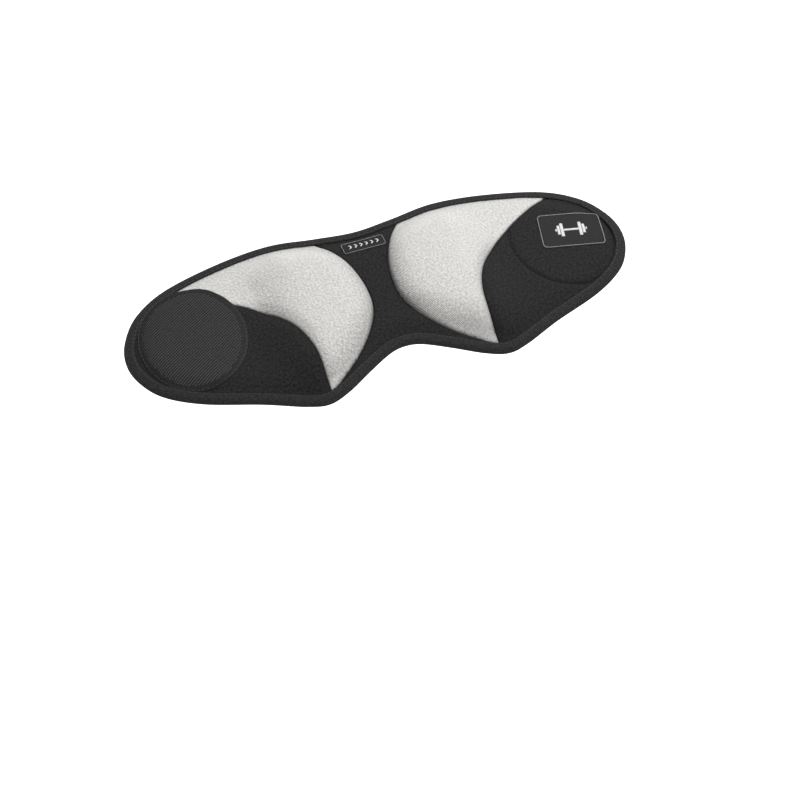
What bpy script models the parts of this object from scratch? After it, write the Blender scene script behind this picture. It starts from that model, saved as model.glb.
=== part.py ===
"""Ankle cuff weight, laid out flat with its outer face up.

Metres, +Z up. X runs along the cuff, from the hook tab at -X to the badge tab at +X, and Y across it.
The skin side lies on z = 0. The cuff bends at six lines parallel to Y, three on each side of the neck,
so it is seven flat segments, and each layer of it is a piece in every segment that it reaches.
"""

import math

import bmesh
import bpy
from mathutils import Matrix, Vector

# The outline's right half, from the middle of the top edge round the tip to the notch.
HALF_OUTLINE = (
    (0.000, 0.0690),
    (0.030, 0.0722),
    (0.065, 0.0770),
    (0.105, 0.0725),
    (0.148, 0.0605),
    (0.173, 0.0440),
    (0.186, 0.0240),
    (0.190, 0.0050),
    (0.186, -0.0135),
    (0.173, -0.0320),
    (0.148, -0.0475),
    (0.110, -0.0615),
    (0.082, -0.0735),
    (0.066, -0.0770),
    (0.050, -0.0712),
    (0.030, -0.0590),
    (0.012, -0.0490),
    (0.000, -0.0465),
)
STEPS_PER_SPAN = 4

# The bend lines, and the two sides that mirror each other.
NECK_BEND_X = 0.016
LOBE_BEND_X = 0.057
TAB_BEND_X = 0.098
BEYOND_TIP_X = 0.200
SEGMENTS = {
    "inner_wing": (NECK_BEND_X, LOBE_BEND_X),
    "outer_wing": (LOBE_BEND_X, TAB_BEND_X),
    "tab": (TAB_BEND_X, BEYOND_TIP_X),
}
SIDES = {"left": -1, "right": 1}
GAP = 0.0003

# How far the cutters reach: past the cuff's thickness, its width and its length.
PAST_FACE = 0.05
PAST_EDGE = 0.10

# Layers, from the skin side out.
SHEET = 0.0010
TAPE_WIDTH = 0.0080
FOAM_TOP = 0.0050
COVER_FOOT = FOAM_TOP + GAP
COVER_TOP = COVER_FOOT + SHEET
TRIM_FOOT = COVER_TOP + GAP
HOOK_THICKNESS = 0.0016
LOOP_THICKNESS = 0.0010
LABEL_THICKNESS = 0.0006
EMBROIDERY_THICKNESS = 0.0004

# The padded lobes. The seam beside the neck is a nose: (flare, reach, power) above and below its tip.
NOSE_X = 0.010
NOSE_Y = 0.0015
UPPER_FLARE = (0.022, 0.063, 2.3)
LOWER_FLARE = (0.045, 0.065, 1.9)
LOBE_RISE = 0.015
LOBE_SHOULDER = 0.026
LOBE_END_X = 0.099

# The seam between a lobe's grey and black panels is a cubic, from its foot at the lower edge.
SEAM_FOOT = (0.062, -0.0675)
SEAM_REACH = (0.083, 0.118)
SEAM_START = 0.00001
SEAM_GAP = 0.0004

# How finely the curved pieces are divided.
LOBE_ROWS = 12
INNER_COLUMNS = 9
OUTER_COLUMNS = 12
SEAM_POINTS = 12
NOSE_POINTS = 24
NOSE_SPAN = 0.170

# The pouches of iron sand, one on each side of a lobe's bend.
POUCH_REACH = {"inner": (0.0185, 0.0545), "outer": (0.0595, 0.0920)}
POUCH_MARGIN = 0.006
POUCH_PLY = 0.0005
POUCH_UNDER_COVER = 0.0030
POUCH_COLUMNS = 6
POUCH_ROWS = 9
LEAST_FILL = 0.0008

# What is sewn on the tabs and the neck.
HOOK_CENTRE = (-0.1405, 0.0075)
HOOK_RADII = (0.0388, 0.047)
LOOP_CENTRE = (0.143, 0.0075)
LOOP_RADII = (0.040, 0.046)
BADGE_CENTRE = (0.1525, 0.0125)
BADGE_SIZE = (0.0485, 0.034)
BADGE_CORNER = 0.003
BADGE_TILT = math.radians(-13)
NECK_LABEL_CENTRE = (0.0015, 0.0515)
NECK_LABEL_SIZE = (0.034, 0.013)
NECK_LABEL_CORNER = 0.0015

# A plain dumbbell: half its grip, then its plates, as (length along the bar, height).
DUMBBELL = ((0.0055, 0.0022), (0.0028, 0.0130), (0.0024, 0.0088), (0.0014, 0.0022))

# Base colour, roughness, metallic value.
FINISHES = {
    "silver_knit": ((0.70, 0.69, 0.67), 0.75, 0.0),
    "black_jersey": ((0.030, 0.029, 0.031), 0.85, 0.0),
    "binding_tape": ((0.022, 0.021, 0.023), 0.80, 0.0),
    "lining_jersey": ((0.026, 0.025, 0.027), 0.90, 0.0),
    "neoprene_foam": ((0.050, 0.050, 0.052), 0.95, 0.0),
    "hook_tape": ((0.036, 0.035, 0.037), 0.60, 0.0),
    "loop_tape": ((0.030, 0.030, 0.032), 0.95, 0.0),
    "pouch_nylon": ((0.18, 0.18, 0.19), 0.60, 0.0),
    "iron_sand": ((0.15, 0.14, 0.13), 0.55, 0.7),
    "label_weave": ((0.035, 0.034, 0.036), 0.70, 0.0),
    "white_thread": ((0.86, 0.86, 0.85), 0.60, 0.0),
}


# ---------------------------------------------------------------- outlines


def with_mirrored_neighbours(points):
    """The points with the next one at each end, over the mirror line x = 0."""
    before = (-points[1][0], points[1][1])
    after = (-points[-2][0], points[-2][1])
    return [before, *points, after]


def half_outline(inset):
    """The right half of the outline as a Catmull-Rom curve, moved in from the edge by inset."""
    curve = []
    padded = with_mirrored_neighbours(HALF_OUTLINE)
    for p, q, r, s in zip(padded, padded[1:], padded[2:], padded[3:]):
        p, q, r, s = Vector(p), Vector(q), Vector(r), Vector(s)
        for step in range(STEPS_PER_SPAN):
            t = step / STEPS_PER_SPAN
            slope = t * (r - p) / 2
            bend = t**2 * (2 * p - 5 * q + 4 * r - s) / 2
            twist = t**3 * (3 * (q - r) + s - p) / 2
            curve.append(q + slope + bend + twist)
    curve.append(Vector(HALF_OUTLINE[-1]))
    padded = [Vector(point) for point in with_mirrored_neighbours(curve)]
    moved = []
    for last, here, following in zip(padded, padded[1:], padded[2:]):
        along = (following - last).normalized()
        moved.append(here + inset * Vector((along.y, -along.x)))
    return moved


def whole_outline(inset):
    right = half_outline(inset)
    left = [Vector((-point.x, point.y)) for point in reversed(right[1:-1])]
    return right + left


def edges_at(x, points):
    """(lowest, highest) y at which a half outline crosses x."""
    crossings = []
    for start, end in zip(points, points[1:]):
        if start.x != end.x and min(start.x, end.x) <= x <= max(start.x, end.x):
            crossings.append(start.lerp(end, (x - start.x) / (end.x - start.x)).y)
    return min(crossings), max(crossings)


def nose_seam_x(y):
    """x of the seam between the neck and the right lobe."""
    flare, reach, power = UPPER_FLARE if y > NOSE_Y else LOWER_FLARE
    return NOSE_X + flare * (abs(y - NOSE_Y) / reach) ** power


def nose_seam_y(x, side):
    """y of that seam on its upper (side 1) or lower (side -1) branch."""
    flare, reach, power = UPPER_FLARE if side > 0 else LOWER_FLARE
    return NOSE_Y + side * reach * ((x - NOSE_X) / flare) ** (1 / power)


def lobe_edges(x):
    """(lowest, highest) y of the right lobe at x: the binding's inner edge, or the nose's seam."""
    low, high = edges_at(x, COVER_EDGE)
    if x < LOBE_BEND_X:
        low = max(low, nose_seam_y(x, -1))
        high = min(high, nose_seam_y(x, 1))
    return low, high


def seam_between(first_x, last_x, count):
    """Points of the seam between the right lobe's two panels."""
    first, last = (((x - SEAM_FOOT[0]) / SEAM_REACH[0]) ** (1 / 3) for x in (first_x, last_x))
    steps = eased(first, last, count)
    return [(SEAM_FOOT[0] + SEAM_REACH[0] * t**3, SEAM_FOOT[1] + SEAM_REACH[1] * t) for t in steps]


def nose_area(side):
    """The lobe's side of the nose seam, reaching a gap past it."""
    rows = [NOSE_Y + NOSE_SPAN * (i / NOSE_POINTS - 0.5) for i in range(NOSE_POINTS + 1)]
    seam = [(nose_seam_x(y) - SEAM_GAP, y) for y in rows]
    far = [(BEYOND_TIP_X, rows[-1]), (BEYOND_TIP_X, rows[0])]
    return [(side * x, y) for x, y in seam + far]


def tip_area(side, gap):
    """What lies above the panel seam, reaching a gap past it."""
    end_x = SEAM_FOOT[0] + SEAM_REACH[0]
    seam = [(x + gap, y - gap) for x, y in seam_between(LOBE_BEND_X + 0.02, end_x, SEAM_POINTS)]
    far = [(end_x + gap, PAST_EDGE), (LOBE_BEND_X, PAST_EDGE)]
    return [(side * x, y) for x, y in seam + far]


def placed(points, centre, tilt):
    return [Matrix.Rotation(tilt, 2) @ Vector(point) + Vector(centre) for point in points]


def ellipse(centre, radii, count=40):
    turns = [2 * math.pi * i / count for i in range(count)]
    return placed([(radii[0] * math.cos(a), radii[1] * math.sin(a)) for a in turns], centre, 0)


def rounded_rectangle(centre, size, corner, tilt=0.0, steps=3):
    points = []
    for quarter, (x_side, y_side) in enumerate(((1, 1), (-1, 1), (-1, -1), (1, -1))):
        for step in range(steps + 1):
            turn = (quarter + step / steps) * math.pi / 2
            x = x_side * (size[0] / 2 - corner) + corner * math.cos(turn)
            y = y_side * (size[1] / 2 - corner) + corner * math.sin(turn)
            points.append((x, y))
    return placed(points, centre, tilt)


def dumbbell(centre, tilt):
    """The outline of a dumbbell, from the quarter that lies above and to the right of its middle."""
    grip, *plates = DUMBBELL
    x, height = grip
    quarter = [(x, height / 2)]
    for length, height in plates:
        quarter += [(x, height / 2), (x + length, height / 2)]
        x += length
    upper = quarter[::-1] + [(-x, y) for x, y in quarter]
    lower = [(-x, -y) for x, y in upper]
    return placed(upper + lower, centre, tilt)


COVER_EDGE = half_outline(TAPE_WIDTH + GAP)


# ---------------------------------------------------------------- heights


def shoulder(distance):
    """0 at a lobe's edge, rising as a quarter circle to 1 at its crown."""
    t = min(max(distance / LOBE_SHOULDER, 0.0), 1.0)
    return math.sqrt(1 - (1 - t) ** 2)


def cover_top(x, y):
    """Height of the outer face: flat, with a dome over each lobe."""
    x = abs(x)
    if x <= NOSE_X or x >= LOBE_END_X:
        return COVER_TOP
    low, high = edges_at(x, COVER_EDGE)
    from_sides = shoulder(high - y) * shoulder(y - low)
    from_ends = shoulder(x - nose_seam_x(y)) * shoulder(LOBE_END_X - x)
    return COVER_TOP + LOBE_RISE * from_sides * from_ends


def cover_foot(x, y):
    return cover_top(x, y) - SHEET


def pouch_foot(_x, _y):
    return COVER_FOOT


def pouch_floor(_x, _y):
    return COVER_FOOT + POUCH_PLY


def fill_foot(x, y):
    return pouch_floor(x, y) + GAP


def fill_top(x, y):
    wanted = cover_top(x, y) - POUCH_UNDER_COVER - POUCH_PLY - GAP
    return max(wanted, fill_foot(x, y) + LEAST_FILL)


def pouch_roof(x, y):
    return fill_top(x, y) + GAP


def pouch_top(x, y):
    return pouch_roof(x, y) + POUCH_PLY


# ---------------------------------------------------------------- scene and solids


def new_collection(name):
    collection = bpy.data.collections.new(name)
    bpy.context.scene.collection.children.link(collection)
    return collection


def material(name):
    if name in bpy.data.materials:
        return bpy.data.materials[name]
    colour, roughness, metallic = FINISHES[name]
    made = bpy.data.materials.new(name)
    made.use_nodes = True
    shader = made.node_tree.nodes["Principled BSDF"]
    shader.inputs["Base Color"].default_value = (*colour, 1)
    shader.inputs["Roughness"].default_value = roughness
    shader.inputs["Metallic"].default_value = metallic
    made.diffuse_color = (*colour, 1)
    return made


def add_part(name, mesh, body, finish):
    """One named node on a body. Its mesh is in world coordinates, and its parent is the body's hinge."""
    part = bpy.data.objects.new(name, mesh)
    parts.objects.link(part)
    mesh.materials.clear()
    mesh.materials.append(material(finish))
    if body in hinges:
        part.parent = hinges[body]
        part.matrix_parent_inverse = hinges[body].matrix_world.inverted()
    return part


def mesh_from(bm, name):
    bmesh.ops.recalc_face_normals(bm, faces=bm.faces)
    mesh = bpy.data.meshes.new(name)
    bm.to_mesh(mesh)
    bm.free()
    return mesh


def prism_mesh(name, outline, low, high):
    """A flat outline given thickness, as a mesh that Booleans take."""
    curve = bpy.data.curves.new(name, "CURVE")
    curve.dimensions = "2D"
    curve.fill_mode = "BOTH"
    curve.extrude = (high - low) / 2
    spline = curve.splines.new("POLY")
    spline.points.add(len(outline) - 1)
    for point, (x, y) in zip(spline.points, outline):
        point.co = (x, y, 0, 1)
    spline.use_cyclic_u = True
    flat = bpy.data.objects.new(name, curve)
    bpy.context.scene.collection.objects.link(flat)
    graph = bpy.context.evaluated_depsgraph_get()
    converted = bpy.data.meshes.new_from_object(flat.evaluated_get(graph))
    bm = bmesh.new()
    bm.from_mesh(converted)
    bmesh.ops.remove_doubles(bm, verts=bm.verts, dist=1e-6)
    bmesh.ops.translate(bm, verts=bm.verts, vec=(0, 0, (low + high) / 2))
    bpy.data.objects.remove(flat)
    bpy.data.meshes.remove(converted)
    return mesh_from(bm, name)


def quilt_mesh(name, columns, low, high):
    """A solid between two height functions over a grid of columns, each an x and its list of y."""
    bm = bmesh.new()
    last_column, last_row = len(columns) - 1, len(columns[0][1]) - 1
    bmesh.ops.create_grid(bm, x_segments=last_column, y_segments=last_row, size=0.5)
    for vert in bm.verts:
        x, ys = columns[round((vert.co.x + 0.5) * last_column)]
        vert.co = (x, ys[round((vert.co.y + 0.5) * last_row)], 0)
    lower = list(bm.verts)
    copied = bmesh.ops.extrude_face_region(bm, geom=bm.faces[:])["geom"]
    upper = [item for item in copied if isinstance(item, bmesh.types.BMVert)]
    for verts, height in ((lower, low), (upper, high)):
        for vert in verts:
            vert.co.z = height(vert.co.x, vert.co.y)
    return mesh_from(bm, name)


def add_cutter(name, mesh):
    cutter = bpy.data.objects.new(name, mesh)
    cutter.hide_render = True
    cutter.display_type = "WIRE"
    cutters.objects.link(cutter)
    return cutter


def box_cutter(name, x_range, y_range):
    bm = bmesh.new()
    bmesh.ops.create_cube(bm, size=1)
    corners = (x_range, y_range, (-PAST_FACE, PAST_FACE))
    bmesh.ops.scale(bm, verts=bm.verts, vec=[high - low for low, high in corners])
    bmesh.ops.translate(bm, verts=bm.verts, vec=[(high + low) / 2 for low, high in corners])
    return add_cutter(name, mesh_from(bm, name))


def prism_cutter(name, outline, low=-PAST_FACE, high=PAST_FACE):
    return add_cutter(name, prism_mesh(name, outline, low, high))


def trim(part, operation, cutter):
    boolean = part.modifiers.new(f"{operation.lower()}_{cutter.name}", "BOOLEAN")
    boolean.operation = operation
    boolean.solver = "EXACT"
    boolean.object = cutter


def add_flat(name, body, finish, outline, heights, keep=(), remove=()):
    """A flat layer: an outline's prism, kept inside some cutters and cut away by others."""
    part = add_part(name, prism_mesh(name, outline, *heights), body, finish)
    for cutter in keep:
        trim(part, "INTERSECT", cutter)
    for cutter in remove:
        trim(part, "DIFFERENCE", cutter)


def eased(low, high, count):
    """count values from low to high, closer together at both ends."""
    turns = [math.pi * i / (count - 1) for i in range(count)]
    return [low + (high - low) * (1 - math.cos(turn)) / 2 for turn in turns]


def on_side(side, columns):
    """Columns made for the right half, in order of x on the given side."""
    return sorted((SIDES[side] * x, ys) for x, ys in columns)


# ---------------------------------------------------------------- the frame of the model


def add_hinge(body, x, parent):
    """An empty on the bend line between a body and the one before it."""
    hinge = bpy.data.objects.new(f"{body}_hinge", None)
    hinge.empty_display_size = 0.02
    parts.objects.link(hinge)
    hinge.parent = parent
    hinge.location.x = x - (parent.matrix_world.translation.x if parent else 0)
    bpy.context.view_layer.update()
    hinges[body] = hinge
    return hinge


def add_frame():
    """The hinges, and one box cutter for each segment."""
    segment_boxes["back"] = segment_cutter("back", -NECK_BEND_X, NECK_BEND_X)
    for side, sign in SIDES.items():
        parent = None
        for segment, (near, far) in SEGMENTS.items():
            body = f"{side}_{segment}"
            parent = add_hinge(body, sign * near, parent)
            segment_boxes[body] = segment_cutter(body, *sorted((sign * near, sign * far)))


def segment_cutter(body, low, high):
    return box_cutter(f"{body}_box", (low + GAP, high - GAP), (-PAST_EDGE, PAST_EDGE))


# ---------------------------------------------------------------- layers in every segment


def add_lining_and_foam(body):
    """On the badge tab both are higher, with the loop patch under them."""
    low = LOOP_THICKNESS + GAP if body == "right_tab" else 0
    heights = (low, low + SHEET)
    box = [segment_boxes[body]]
    add_flat(f"{body}_lining", body, "lining_jersey", whole_outline(TAPE_WIDTH + GAP), heights, box)
    heights = (low + SHEET + GAP, FOAM_TOP)
    add_flat(f"{body}_foam", body, "neoprene_foam", whole_outline(SHEET + GAP), heights, box)


def add_binding(body, tape_core, tape_slot, halves):
    """The tape folded over the cuff's edge: a channel with one leg on each face."""
    for half in halves:
        name = f"{body}_{half}_binding".replace("_both", "")
        keep = [segment_boxes[body]] + ([half_boxes[half]] if half != "both" else [])
        heights = (0, COVER_TOP)
        add_flat(name, body, "binding_tape", whole_outline(0), heights, keep, [tape_core, tape_slot])


def add_layers():
    tape_core = prism_cutter("tape_core", whole_outline(TAPE_WIDTH))
    tape_slot = prism_cutter("tape_slot", whole_outline(SHEET), SHEET, COVER_FOOT)
    for body in segment_boxes:
        halves = ("both",) if body.endswith("tab") else ("upper", "lower")
        add_lining_and_foam(body)
        add_binding(body, tape_core, tape_slot, halves)


# ---------------------------------------------------------------- outer covers


def add_neck_cover():
    """The black panel round the neck, which tapers away between the lobes and the binding."""
    noses = {side: prism_cutter(f"{side}_nose", nose_area(sign)) for side, sign in SIDES.items()}
    layer = ("black_jersey", whole_outline(TAPE_WIDTH + GAP), (COVER_FOOT, COVER_TOP))
    add_flat("neck_cover", "back", *layer, [segment_boxes["back"]], noses.values())
    for side, nose in noses.items():
        body = f"{side}_inner_wing"
        for half, box in half_boxes.items():
            add_flat(f"{side}_{half}_neck_cover", body, *layer, [segment_boxes[body], box], [nose])


def grey_inner_columns():
    """From just behind the nose to the lobe's bend."""
    columns = []
    first, last = NOSE_X + SEAM_GAP, LOBE_BEND_X - GAP
    for i in range(INNER_COLUMNS):
        x = first + (last - first) * (i / (INNER_COLUMNS - 1)) ** 2
        columns.append((x, eased(*lobe_edges(x), LOBE_ROWS)))
    return columns


def outer_seam():
    """The panel seam from its foot to the tab's bend."""
    return seam_between(SEAM_FOOT[0] + SEAM_START, TAB_BEND_X - GAP - SEAM_GAP, OUTER_COLUMNS)


def grey_outer_columns():
    """From the lobe's bend to the tab's, above the panel seam."""
    before = [(x, lobe_edges(x)[0]) for x in (LOBE_BEND_X + GAP, SEAM_FOOT[0])]
    return [(x, eased(low, lobe_edges(x)[1], LOBE_ROWS)) for x, low in before + outer_seam()]


def black_outer_columns():
    """What is left of that segment, below the panel seam."""
    under = [(x + SEAM_GAP, y - SEAM_GAP) for x, y in outer_seam()]
    return [(x, eased(lobe_edges(x)[0], high, LOBE_ROWS)) for x, high in under]


def add_lobe_covers(side):
    pieces = (
        ("inner_grey_panel", "inner_wing", "silver_knit", grey_inner_columns()),
        ("outer_grey_panel", "outer_wing", "silver_knit", grey_outer_columns()),
        ("outer_black_panel", "outer_wing", "black_jersey", black_outer_columns()),
    )
    for piece, segment, finish, columns in pieces:
        name = f"{side}_{piece}"
        mesh = quilt_mesh(name, on_side(side, columns), cover_foot, cover_top)
        add_part(name, mesh, f"{side}_{segment}", finish)


def add_tab_covers(side):
    """The flat ends of the grey and the black panel."""
    body = f"{side}_tab"
    tip = prism_cutter(f"{side}_tip", tip_area(SIDES[side], 0))
    around_tip = prism_cutter(f"{side}_tip_and_gap", tip_area(SIDES[side], SEAM_GAP))
    shape = (whole_outline(TAPE_WIDTH + GAP), (COVER_FOOT, COVER_TOP))
    box = segment_boxes[body]
    add_flat(f"{side}_grey_tip", body, "silver_knit", *shape, [box, tip])
    add_flat(f"{side}_tab_cover", body, "black_jersey", *shape, [box], [around_tip])


# ---------------------------------------------------------------- weights, labels and closure


def add_pouches(side):
    """Each lobe holds two sewn pouches of iron sand, each of two plies round its fill."""
    layers = (
        ("pouch_back", "pouch_nylon", pouch_foot, pouch_floor),
        ("sand_fill", "iron_sand", fill_foot, fill_top),
        ("pouch_front", "pouch_nylon", pouch_roof, pouch_top),
    )
    for place, (first, last) in POUCH_REACH.items():
        columns = []
        for x in eased(first, last, POUCH_COLUMNS):
            low, high = lobe_edges(x)
            columns.append((x, eased(low + POUCH_MARGIN, high - POUCH_MARGIN, POUCH_ROWS)))
        for layer, finish, low, high in layers:
            name = f"{side}_{place}_{layer}"
            mesh = quilt_mesh(name, on_side(side, columns), low, high)
            add_part(name, mesh, f"{side}_{place}_wing", finish)


def add_closure():
    """The hook patch on the left tab's outer face, and the loop patch on the badge tab's skin side."""
    hook = ellipse(HOOK_CENTRE, HOOK_RADII)
    add_flat("hook_patch", "left_tab", "hook_tape", hook, (TRIM_FOOT, TRIM_FOOT + HOOK_THICKNESS))
    inside_tape = prism_cutter("inside_tape", whole_outline(TAPE_WIDTH + GAP))
    loop = ellipse(LOOP_CENTRE, LOOP_RADII)
    add_flat("loop_patch", "right_tab", "loop_tape", loop, (0, LOOP_THICKNESS), [inside_tape])


def add_labels():
    label_top = TRIM_FOOT + LABEL_THICKNESS
    heights = (TRIM_FOOT, label_top)
    neck = rounded_rectangle(NECK_LABEL_CENTRE, NECK_LABEL_SIZE, NECK_LABEL_CORNER)
    add_flat("neck_label", "back", "label_weave", neck, heights)
    badge = rounded_rectangle(BADGE_CENTRE, BADGE_SIZE, BADGE_CORNER, BADGE_TILT)
    add_flat("badge_label", "right_tab", "label_weave", badge, heights)
    heights = (label_top + GAP, label_top + GAP + EMBROIDERY_THICKNESS)
    emblem = dumbbell(BADGE_CENTRE, BADGE_TILT)
    add_flat("badge_emblem", "right_tab", "white_thread", emblem, heights)


for old in list(bpy.data.objects):
    bpy.data.objects.remove(old)
parts = new_collection("ankle_cuff_weight")
cutters = new_collection("cutters")
hinges = {}
segment_boxes = {}
whole_length = (-BEYOND_TIP_X, BEYOND_TIP_X)
half_boxes = {
    "upper": box_cutter("upper_half", whole_length, (0, PAST_EDGE)),
    "lower": box_cutter("lower_half", whole_length, (-PAST_EDGE, 0)),
}
add_frame()
add_layers()
add_neck_cover()
for cuff_side in SIDES:
    add_lobe_covers(cuff_side)
    add_tab_covers(cuff_side)
    add_pouches(cuff_side)
add_closure()
add_labels()
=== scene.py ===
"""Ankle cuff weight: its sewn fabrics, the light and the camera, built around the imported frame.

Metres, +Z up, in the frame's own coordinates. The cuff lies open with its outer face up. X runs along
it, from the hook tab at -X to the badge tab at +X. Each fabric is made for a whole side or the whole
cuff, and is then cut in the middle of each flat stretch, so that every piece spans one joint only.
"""

import math
from functools import cache

import bmesh
import bpy
from mathutils import Matrix, Vector, noise
from mathutils.geometry import delaunay_2d_cdt
from mathutils.kdtree import KDTree


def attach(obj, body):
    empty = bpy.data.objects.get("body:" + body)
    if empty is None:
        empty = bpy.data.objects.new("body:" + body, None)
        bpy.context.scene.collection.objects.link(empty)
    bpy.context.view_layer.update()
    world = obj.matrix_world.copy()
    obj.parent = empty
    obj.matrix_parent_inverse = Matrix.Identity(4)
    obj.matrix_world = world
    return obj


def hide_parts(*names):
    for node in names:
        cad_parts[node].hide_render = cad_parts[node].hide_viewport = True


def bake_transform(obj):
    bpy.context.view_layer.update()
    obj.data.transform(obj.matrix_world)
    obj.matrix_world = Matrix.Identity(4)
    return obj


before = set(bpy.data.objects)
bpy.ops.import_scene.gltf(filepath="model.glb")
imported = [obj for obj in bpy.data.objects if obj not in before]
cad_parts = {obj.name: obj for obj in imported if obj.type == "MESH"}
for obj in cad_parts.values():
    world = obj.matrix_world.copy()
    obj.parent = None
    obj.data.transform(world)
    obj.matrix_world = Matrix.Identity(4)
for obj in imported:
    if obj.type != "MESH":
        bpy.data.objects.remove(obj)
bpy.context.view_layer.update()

MM = 0.001
UP = Vector((0, 0, 1))

# ---- the design's own sizes, as in the CAD

# The outline's right half, from the middle of the top edge round the tip to the notch.
HALF_OUTLINE = (
    (0.000, 0.0690),
    (0.030, 0.0722),
    (0.065, 0.0770),
    (0.105, 0.0725),
    (0.148, 0.0605),
    (0.173, 0.0440),
    (0.186, 0.0240),
    (0.190, 0.0050),
    (0.186, -0.0135),
    (0.173, -0.0320),
    (0.148, -0.0475),
    (0.110, -0.0615),
    (0.082, -0.0735),
    (0.066, -0.0770),
    (0.050, -0.0712),
    (0.030, -0.0590),
    (0.012, -0.0490),
    (0.000, -0.0465),
)
OUTLINE_STEPS = 12
EDGE_STEP = 0.0005
EDGE_CELLS = 400

SIDES = {"left": -1, "right": 1}
COVER_TOP = 0.0063
SEWN_EDGE = 0.0045  # how high the cover lies where the tape pinches it
PINCH_REACH = 0.014
PUFF = 0.0009
TAPE_WIDTH = 0.0080
DOME_EDGE = 0.0098
NOSE_X = 0.010
NOSE_Y = 0.0015
UPPER_FLARE = (0.022, 0.063, 2.3)
LOWER_FLARE = (0.045, 0.065, 1.9)
LOBE_RISE = 0.015
LOBE_SHOULDER = 0.026
LOBE_SLOPE = 0.031
LOBE_FADE_X = (0.058, 0.103)
SEAM_FOOT = (0.062, -0.0675)
SEAM_REACH = (0.083, 0.118)
HOOK_CENTRE = (-0.1405, 0.0075)
HOOK_RADII = (0.0388, 0.047)
LOOP_CENTRE = (0.143, 0.0075)
LOOP_RADII = (0.040, 0.046)
# Each label's middle, size, corner radius and tilt.
BADGE = ((0.1525, 0.0125), (0.0485, 0.034), 0.003, math.radians(-13))
NECK_LABEL = ((0.0015, 0.0515), (0.034, 0.013), 0.0015, 0.0)
POUCH_REACH = {"inner": (0.0185, 0.0545), "outer": (0.0595, 0.0870)}
POUCH_MARGIN = 0.006
POUCH_FOOT = 0.0055
POUCH_RISE = 0.0130
POUCH_LOW_DOME = 0.35  # the pouches stay flat where the cover is lower than this share of its height

# A plain dumbbell: half its grip, then its plates, as (length along the bar, height).
DUMBBELL = ((0.0055, 0.0022), (0.0028, 0.0130), (0.0024, 0.0088), (0.0014, 0.0022))

# The three stretches of each side: their ends, the two bodies that they join, and where they bend.
STRETCHES = {
    "inner": (0.0, 0.0365, "back", "inner_wing", 0.0, 0.032),
    "middle": (0.0365, 0.0775, "inner_wing", "outer_wing", 0.037, 0.077),
    "outer": (0.0775, 0.2000, "outer_wing", "tab", 0.083, 0.113),
}

# What each piece stands for. A name without a side is the same on both.
STANDS_FOR = {
    "silver_panel_inner": ("{side}_inner_grey_panel", "{side}_inner_wing_foam"),
    "silver_panel_middle": ("{side}_outer_grey_panel", "{side}_outer_wing_foam"),
    "silver_panel_outer": ("{side}_grey_tip",),
    "black_panel_middle": ("{side}_outer_black_panel",),
    "black_panel_outer": ("{side}_tab_cover", "{side}_tab_foam"),
    "neck_cover_inner": ("{side}_upper_neck_cover",),
    "neck_cover_middle": ("{side}_lower_neck_cover",),
    "lining_inner": ("{side}_inner_wing_lining",),
    "lining_middle": ("{side}_outer_wing_lining",),
    "lining_outer": ("{side}_tab_lining",),
    "binding_inner": ("{side}_inner_wing_upper_binding", "{side}_inner_wing_lower_binding"),
    "binding_middle": ("{side}_outer_wing_upper_binding", "{side}_outer_wing_lower_binding"),
    "binding_outer": ("{side}_tab_binding",),
    "left_neck_cover_inner": ("neck_cover", "back_foam"),
    "left_lining_inner": ("back_lining",),
    "left_binding_inner": ("back_upper_binding", "back_lower_binding"),
    "left_neck_label_inner": ("neck_label",),
    "left_hook_patch_outer": ("hook_patch",),
    "right_loop_patch_outer": ("loop_patch",),
}


# ---- outlines


def half_outline(inset):
    """The right half of the outline as a smooth curve, moved in from the edge by inset."""
    before = (-HALF_OUTLINE[1][0], HALF_OUTLINE[1][1])
    after = (-HALF_OUTLINE[-2][0], HALF_OUTLINE[-2][1])
    padded = [Vector(point) for point in (before, *HALF_OUTLINE, after)]
    curve = []
    for p, q, r, s in zip(padded, padded[1:], padded[2:], padded[3:]):
        for step in range(OUTLINE_STEPS):
            t = step / OUTLINE_STEPS
            climb = t * (r - p) / 2
            bend = t**2 * (2 * p - 5 * q + 4 * r - s) / 2
            twist = t**3 * (3 * (q - r) + s - p) / 2
            curve.append(q + climb + bend + twist)
    curve.append(Vector(HALF_OUTLINE[-1]))
    mirror = [Vector((-point.x, point.y)) for point in (curve[1], curve[-2])]
    neighbours = [mirror[0], *curve, mirror[1]]
    moved = []
    for last, here, following in zip(neighbours, neighbours[1:], neighbours[2:]):
        along = (following - last).normalized()
        moved.append(here + inset * Vector((along.y, -along.x)))
    return moved


def lengths_along(points):
    lengths = [0.0]
    for start, end in zip(points, points[1:]):
        lengths.append(lengths[-1] + (end - start).length)
    return lengths


def points_along(points, distances):
    """Points on an open line, at growing distances from its start."""
    lengths = lengths_along(points)
    found = []
    span = 0
    for wanted in distances:
        while lengths[span + 1] < wanted:
            span += 1
        share = (wanted - lengths[span]) / (lengths[span + 1] - lengths[span])
        found.append(points[span].lerp(points[span + 1], share))
    return found


def spaced(points, spacing):
    """An open line again, with points evenly apart, its own ends among them."""
    total = lengths_along(points)[-1]
    count = max(2, round(total / spacing))
    return points_along(points, [total * step / count for step in range(count)]) + [points[-1]]


def whole_outline(inset, spacing):
    """Evenly spaced points round the whole cuff, clockwise, without the first one again at the end."""
    right = spaced(half_outline(inset), spacing)
    left = [Vector((-point.x, point.y)) for point in reversed(right[1:-1])]
    return right + left


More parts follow.
